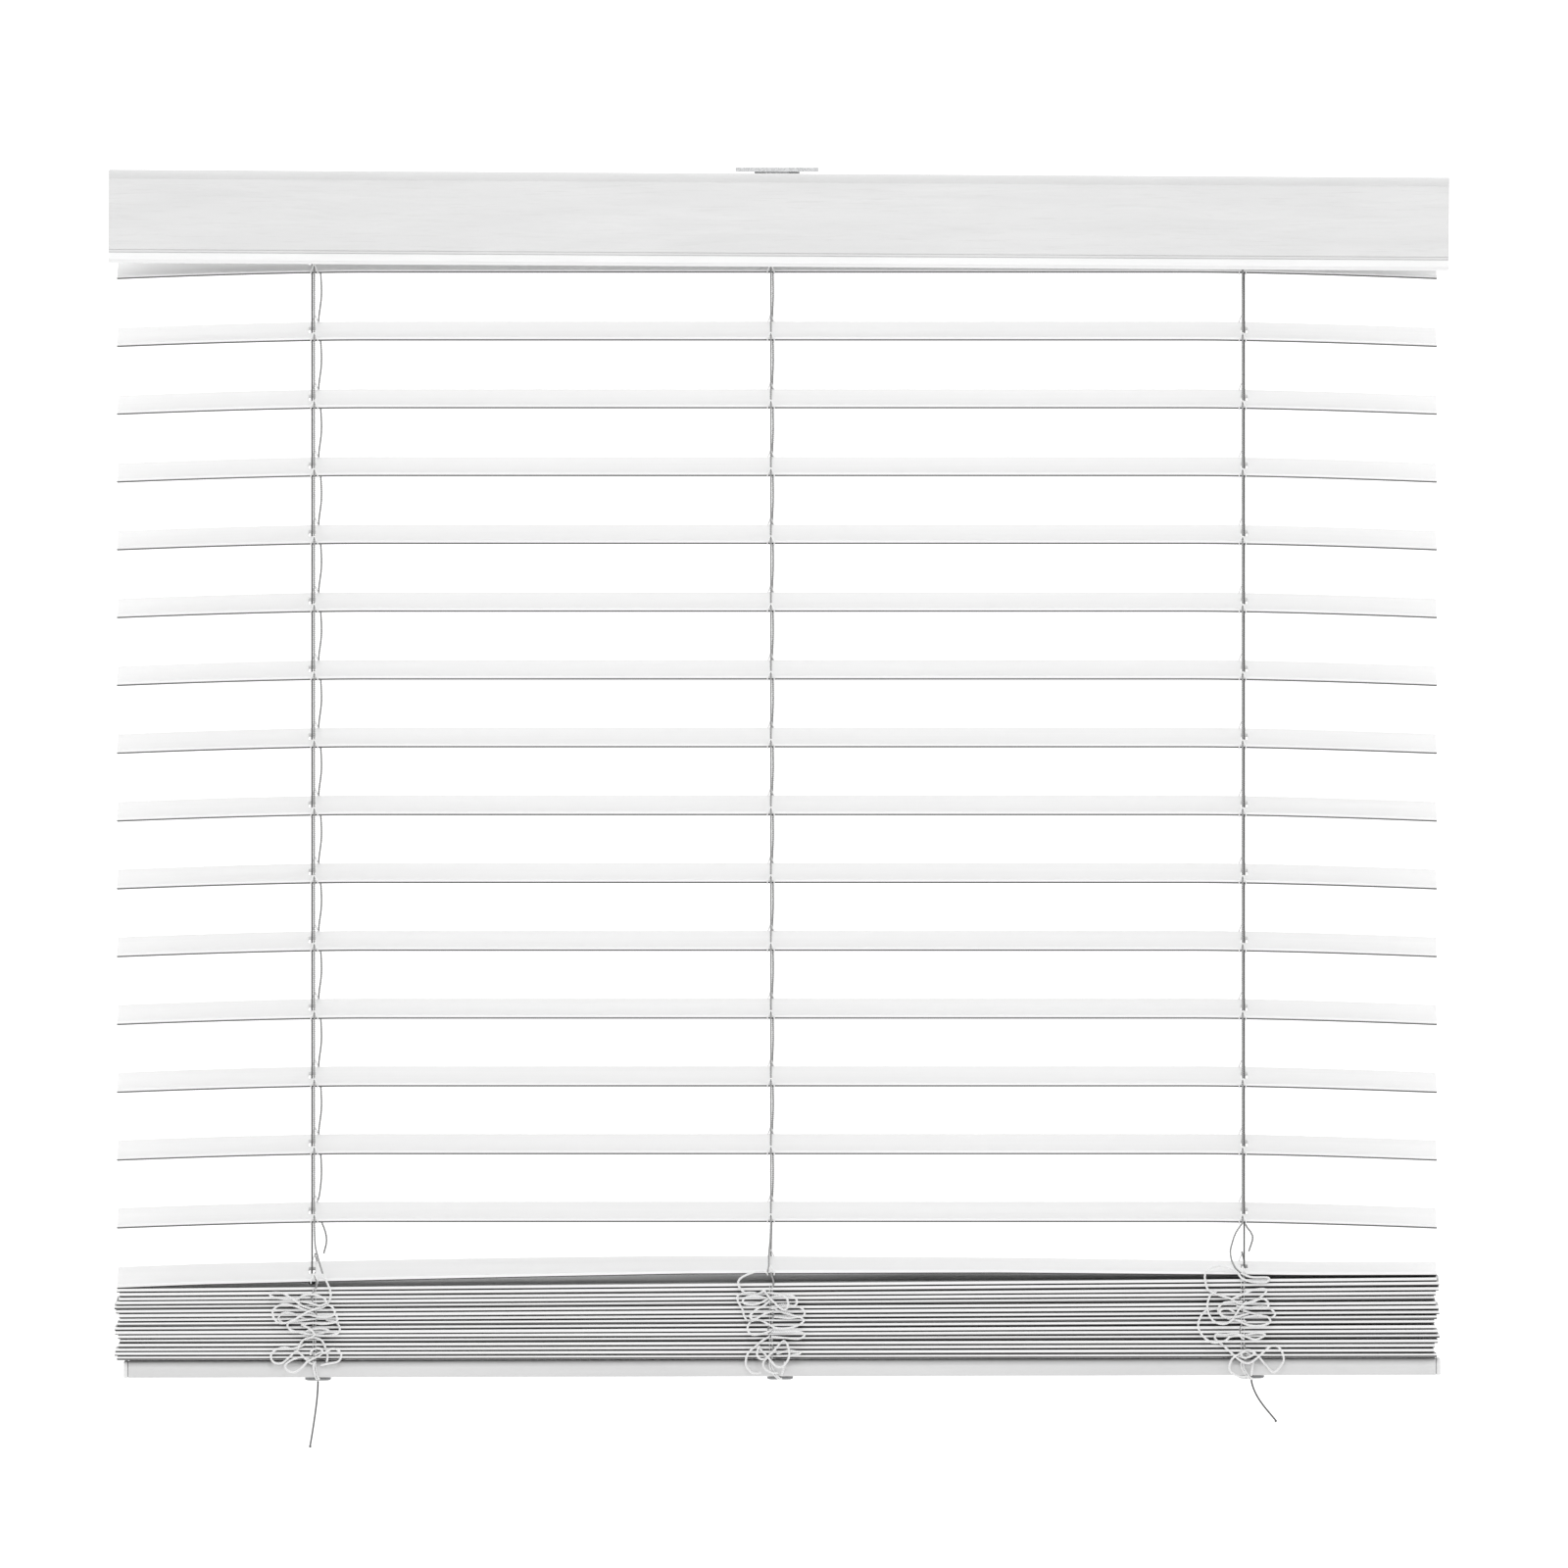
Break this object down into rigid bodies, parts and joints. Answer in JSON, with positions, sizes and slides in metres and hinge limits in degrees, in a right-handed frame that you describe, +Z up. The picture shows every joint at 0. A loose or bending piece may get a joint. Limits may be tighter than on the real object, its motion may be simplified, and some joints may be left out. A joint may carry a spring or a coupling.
{
  "type": "venetian blind",
  "caption": "Cordless venetian blind with tilting faux-wood slats on string ladders, a moulded valance over its headrail and a bottom rail that lowers.",
  "frame": {"origin": "middle of the centre bracket's flat top face, which meets the head of the window", "axes": "+X along the slats to the right seen from the room, -Y into the room, +Z up"},
  "size_m": [0.8894, 0.078, 0.8486],
  "materials": {
    "slat_white": "satin white faux wood",
    "valance_white": "satin white faux wood, embossed grain",
    "rail_white": "satin white faux wood",
    "painted_steel": "white baked enamel",
    "zinc_steel": "zinc plated",
    "spring_steel": "rolled spring strip",
    "clear_plastic": "clear moulded",
    "white_plastic": "white moulded",
    "grey_plastic": "grey acetal",
    "lift_cord": "grey braided polyester",
    "cord": "white braided polyester"
  },
  "bodies": {
    "headrail": {"headrail": "painted_steel", "valance": "valance_white", "valance_clip": "clear_plastic", "centre_bracket": "zinc_steel", "left_end_bracket": "painted_steel", "right_end_bracket": "painted_steel", "left_cradle": "white_plastic", "tilter_housing": "white_plastic", "motor_housing": "grey_plastic", "motor_spring": "spring_steel", "left_lift_cord": "lift_cord", "right_lift_cord": "lift_cord"},
    "slat_01": {"slat_01": "slat_white"},
    "slat_02": {"slat_02": "slat_white"},
    "slat_03": {"slat_03": "slat_white"},
    "slat_04": {"slat_04": "slat_white"},
    "slat_05": {"slat_05": "slat_white"},
    "slat_06": {"slat_06": "slat_white"},
    "slat_07": {"slat_07": "slat_white"},
    "slat_08": {"slat_08": "slat_white"},
    "slat_09": {"slat_09": "slat_white"},
    "slat_10": {"slat_10": "slat_white"},
    "slat_11": {"slat_11": "slat_white"},
    "slat_12": {"slat_12": "slat_white"},
    "slat_13": {"slat_13": "slat_white"},
    "slat_14": {"slat_14": "slat_white"},
    "slat_15": {"slat_15": "slat_white"},
    "slat_16": {"slat_16": "slat_white"},
    "slat_17": {"slat_17": "slat_white"},
    "slat_18": {"slat_18": "slat_white"},
    "slat_19": {"slat_19": "slat_white"},
    "slat_20": {"slat_20": "slat_white"},
    "slat_21": {"slat_21": "slat_white"},
    "slat_22": {"slat_22": "slat_white"},
    "slat_23": {"slat_23": "slat_white"},
    "slat_24": {"slat_24": "slat_white"},
    "slat_25": {"slat_25": "slat_white"},
    "slat_26": {"slat_26": "slat_white"},
    "slat_27": {"slat_27": "slat_white"},
    "slat_28": {"slat_28": "slat_white"},
    "slat_29": {"slat_29": "slat_white"},
    "slat_30": {"slat_30": "slat_white"},
    "slat_31": {"slat_31": "slat_white"},
    "slat_32": {"slat_32": "slat_white"},
    "slat_33": {"slat_33": "slat_white"},
    "tilt_shaft": {"tilt_shaft": "zinc_steel", "tilter_gear": "grey_plastic"},
    "tilter_worm": {"tilter_worm": "grey_plastic"},
    "lift_shaft": {"lift_shaft": "grey_plastic"},
    "storage_reel": {"storage_reel": "grey_plastic"},
    "ladder_front": {"ladder_front": "cord"},
    "ladder_rear": {"ladder_rear": "cord"},
    "bottom_rail": {"bottom_rail": "rail_white", "left_rail_cap": "white_plastic", "right_rail_cap": "white_plastic", "left_plug": "grey_plastic", "middle_plug": "grey_plastic", "right_plug": "grey_plastic", "left_cord_tail": "lift_cord", "right_cord_tail": "lift_cord"}
  },
  "joints": [
    {"name": "slat_01_tilt", "type": "hinge", "parent": "headrail", "child": "slat_01", "pos_m": [0, 0, -0.0632], "axis": [1, 0, 0], "range_deg": [-83, 56]},
    {"name": "slat_02_tilt", "type": "hinge", "parent": "headrail", "child": "slat_02", "pos_m": [0, 0, -0.1082], "axis": [1, 0, 0], "range_deg": [-83, 56]},
    {"name": "slat_03_tilt", "type": "hinge", "parent": "headrail", "child": "slat_03", "pos_m": [0, 0, -0.1532], "axis": [1, 0, 0], "range_deg": [-83, 56]},
    {"name": "slat_04_tilt", "type": "hinge", "parent": "headrail", "child": "slat_04", "pos_m": [0, 0, -0.1982], "axis": [1, 0, 0], "range_deg": [-83, 56]},
    {"name": "slat_05_tilt", "type": "hinge", "parent": "headrail", "child": "slat_05", "pos_m": [0, 0, -0.2432], "axis": [1, 0, 0], "range_deg": [-83, 56]},
    {"name": "slat_06_tilt", "type": "hinge", "parent": "headrail", "child": "slat_06", "pos_m": [0, 0, -0.2882], "axis": [1, 0, 0], "range_deg": [-83, 56]},
    {"name": "slat_07_tilt", "type": "hinge", "parent": "headrail", "child": "slat_07", "pos_m": [0, 0, -0.3332], "axis": [1, 0, 0], "range_deg": [-83, 56]},
    {"name": "tilt", "type": "hinge", "parent": "headrail", "child": "slat_08", "pos_m": [0, 0, -0.3782], "axis": [1, 0, 0], "range_deg": [-83, 56]},
    {"name": "slat_09_tilt", "type": "hinge", "parent": "headrail", "child": "slat_09", "pos_m": [0, 0, -0.4232], "axis": [1, 0, 0], "range_deg": [-83, 56]},
    {"name": "slat_10_tilt", "type": "hinge", "parent": "headrail", "child": "slat_10", "pos_m": [0, 0, -0.4682], "axis": [1, 0, 0], "range_deg": [-83, 56]},
    {"name": "slat_11_tilt", "type": "hinge", "parent": "headrail", "child": "slat_11", "pos_m": [0, 0, -0.5132], "axis": [1, 0, 0], "range_deg": [-83, 56]},
    {"name": "slat_12_tilt", "type": "hinge", "parent": "headrail", "child": "slat_12", "pos_m": [0, 0, -0.5582], "axis": [1, 0, 0], "range_deg": [-83, 56]},
    {"name": "slat_13_tilt", "type": "hinge", "parent": "headrail", "child": "slat_13", "pos_m": [0, 0, -0.6032], "axis": [1, 0, 0], "range_deg": [-83, 56]},
    {"name": "slat_14_tilt", "type": "hinge", "parent": "headrail", "child": "slat_14", "pos_m": [0, 0, -0.6482], "axis": [1, 0, 0], "range_deg": [-83, 56]},
    {"name": "slat_15_tilt", "type": "hinge", "parent": "headrail", "child": "slat_15", "pos_m": [0, 0, -0.6932], "axis": [1, 0, 0], "range_deg": [-83, 56]},
    {"name": "ladder_front_swing", "type": "hinge", "parent": "slat_08", "child": "ladder_front", "pos_m": [0, -0.02434, -0.38391], "axis": [1, 0, 0], "range_deg": [-56, 83]},
    {"name": "ladder_rear_swing", "type": "hinge", "parent": "slat_08", "child": "ladder_rear", "pos_m": [0, 0.02434, -0.37249], "axis": [1, 0, 0], "range_deg": [-56, 83]},
    {"name": "tilt_shaft_turn", "type": "hinge", "parent": "headrail", "child": "tilt_shaft", "pos_m": [0, 0.012, -0.023], "axis": [1, 0, 0], "range_deg": [-194.74, 131.42]},
    {"name": "tilter_worm_turn", "type": "hinge", "parent": "headrail", "child": "tilter_worm", "pos_m": [-0.384, 0.00323, -0.01423], "axis": [0, 0.7071, 0.7071], "range_deg": [-3893.7, 2627.4]},
    {"name": "lift", "type": "slide", "parent": "headrail", "child": "bottom_rail", "axis": [0, 0, 1], "range_m": [-0.7522, 0]},
    {"name": "slat_16_drop", "type": "slide", "parent": "headrail", "child": "slat_16", "axis": [0, 0, 1], "range_m": [-0.011, 0]},
    {"name": "slat_17_drop", "type": "slide", "parent": "headrail", "child": "slat_17", "axis": [0, 0, 1], "range_m": [-0.04428, 0]},
    {"name": "slat_18_drop", "type": "slide", "parent": "headrail", "child": "slat_18", "axis": [0, 0, 1], "range_m": [-0.08622, 0]},
    {"name": "slat_19_drop", "type": "slide", "parent": "headrail", "child": "slat_19", "axis": [0, 0, 1], "range_m": [-0.12784, 0]},
    {"name": "slat_20_drop", "type": "slide", "parent": "headrail", "child": "slat_20", "axis": [0, 0, 1], "range_m": [-0.16967, 0]},
    {"name": "slat_21_drop", "type": "slide", "parent": "headrail", "child": "slat_21", "axis": [0, 0, 1], "range_m": [-0.21157, 0]},
    {"name": "slat_22_drop", "type": "slide", "parent": "headrail", "child": "slat_22", "axis": [0, 0, 1], "range_m": [-0.25322, 0]},
    {"name": "slat_23_drop", "type": "slide", "parent": "headrail", "child": "slat_23", "axis": [0, 0, 1], "range_m": [-0.29523, 0]},
    {"name": "slat_24_drop", "type": "slide", "parent": "headrail", "child": "slat_24", "axis": [0, 0, 1], "range_m": [-0.33702, 0]},
    {"name": "slat_25_drop", "type": "slide", "parent": "headrail", "child": "slat_25", "axis": [0, 0, 1], "range_m": [-0.37883, 0]},
    {"name": "slat_26_drop", "type": "slide", "parent": "headrail", "child": "slat_26", "axis": [0, 0, 1], "range_m": [-0.42088, 0]},
    {"name": "slat_27_drop", "type": "slide", "parent": "headrail", "child": "slat_27", "axis": [0, 0, 1], "range_m": [-0.46262, 0]},
    {"name": "slat_28_drop", "type": "slide", "parent": "headrail", "child": "slat_28", "axis": [0, 0, 1], "range_m": [-0.50464, 0]},
    {"name": "slat_29_drop", "type": "slide", "parent": "headrail", "child": "slat_29", "axis": [0, 0, 1], "range_m": [-0.54661, 0]},
    {"name": "slat_30_drop", "type": "slide", "parent": "headrail", "child": "slat_30", "axis": [0, 0, 1], "range_m": [-0.58843, 0]},
    {"name": "slat_31_drop", "type": "slide", "parent": "headrail", "child": "slat_31", "axis": [0, 0, 1], "range_m": [-0.63059, 0]},
    {"name": "slat_32_drop", "type": "slide", "parent": "headrail", "child": "slat_32", "axis": [0, 0, 1], "range_m": [-0.67246, 0]},
    {"name": "slat_33_drop", "type": "slide", "parent": "headrail", "child": "slat_33", "axis": [0, 0, 1], "range_m": [-0.71447, 0]},
    {"name": "lift_shaft_turn", "type": "hinge", "parent": "headrail", "child": "lift_shaft", "pos_m": [0, -0.012, -0.023], "axis": [1, 0, 0], "range_deg": [-6535, 0]},
    {"name": "storage_reel_turn", "type": "hinge", "parent": "headrail", "child": "storage_reel", "pos_m": [0, 0.012, -0.023], "axis": [1, 0, 0], "range_deg": [0, 5686]}
  ],
  "couplings": [
    {"joint": "slat_01_tilt", "follows": "tilt", "ratio": 1},
    {"joint": "slat_02_tilt", "follows": "tilt", "ratio": 1},
    {"joint": "slat_03_tilt", "follows": "tilt", "ratio": 1},
    {"joint": "slat_04_tilt", "follows": "tilt", "ratio": 1},
    {"joint": "slat_05_tilt", "follows": "tilt", "ratio": 1},
    {"joint": "slat_06_tilt", "follows": "tilt", "ratio": 1},
    {"joint": "slat_07_tilt", "follows": "tilt", "ratio": 1},
    {"joint": "slat_09_tilt", "follows": "tilt", "ratio": 1},
    {"joint": "slat_10_tilt", "follows": "tilt", "ratio": 1},
    {"joint": "slat_11_tilt", "follows": "tilt", "ratio": 1},
    {"joint": "slat_12_tilt", "follows": "tilt", "ratio": 1},
    {"joint": "slat_13_tilt", "follows": "tilt", "ratio": 1},
    {"joint": "slat_14_tilt", "follows": "tilt", "ratio": 1},
    {"joint": "slat_15_tilt", "follows": "tilt", "ratio": 1},
    {"joint": "ladder_front_swing", "follows": "tilt", "ratio": -1},
    {"joint": "ladder_rear_swing", "follows": "tilt", "ratio": -1},
    {"joint": "tilt_shaft_turn", "follows": "tilt", "ratio": 2.345},
    {"joint": "tilter_worm_turn", "follows": "tilt", "ratio": 46.9},
    {"joint": "slat_16_drop", "follows": "lift", "ratio": 0.014358},
    {"joint": "slat_17_drop", "follows": "lift", "ratio": 0.058602},
    {"joint": "slat_18_drop", "follows": "lift", "ratio": 0.11435},
    {"joint": "slat_19_drop", "follows": "lift", "ratio": 0.16969},
    {"joint": "slat_20_drop", "follows": "lift", "ratio": 0.2253},
    {"joint": "slat_21_drop", "follows": "lift", "ratio": 0.281},
    {"joint": "slat_22_drop", "follows": "lift", "ratio": 0.33638},
    {"joint": "slat_23_drop", "follows": "lift", "ratio": 0.39222},
    {"joint": "slat_24_drop", "follows": "lift", "ratio": 0.44777},
    {"joint": "slat_25_drop", "follows": "lift", "ratio": 0.50336},
    {"joint": "slat_26_drop", "follows": "lift", "ratio": 0.55927},
    {"joint": "slat_27_drop", "follows": "lift", "ratio": 0.61475},
    {"joint": "slat_28_drop", "follows": "lift", "ratio": 0.67062},
    {"joint": "slat_29_drop", "follows": "lift", "ratio": 0.72642},
    {"joint": "slat_30_drop", "follows": "lift", "ratio": 0.78202},
    {"joint": "slat_31_drop", "follows": "lift", "ratio": 0.83806},
    {"joint": "slat_32_drop", "follows": "lift", "ratio": 0.89373},
    {"joint": "slat_33_drop", "follows": "lift", "ratio": 0.94958},
    {"joint": "lift_shaft_turn", "follows": "lift", "rad_per_m": 151.51},
    {"joint": "storage_reel_turn", "follows": "lift", "rad_per_m": -131.82}
  ]
}
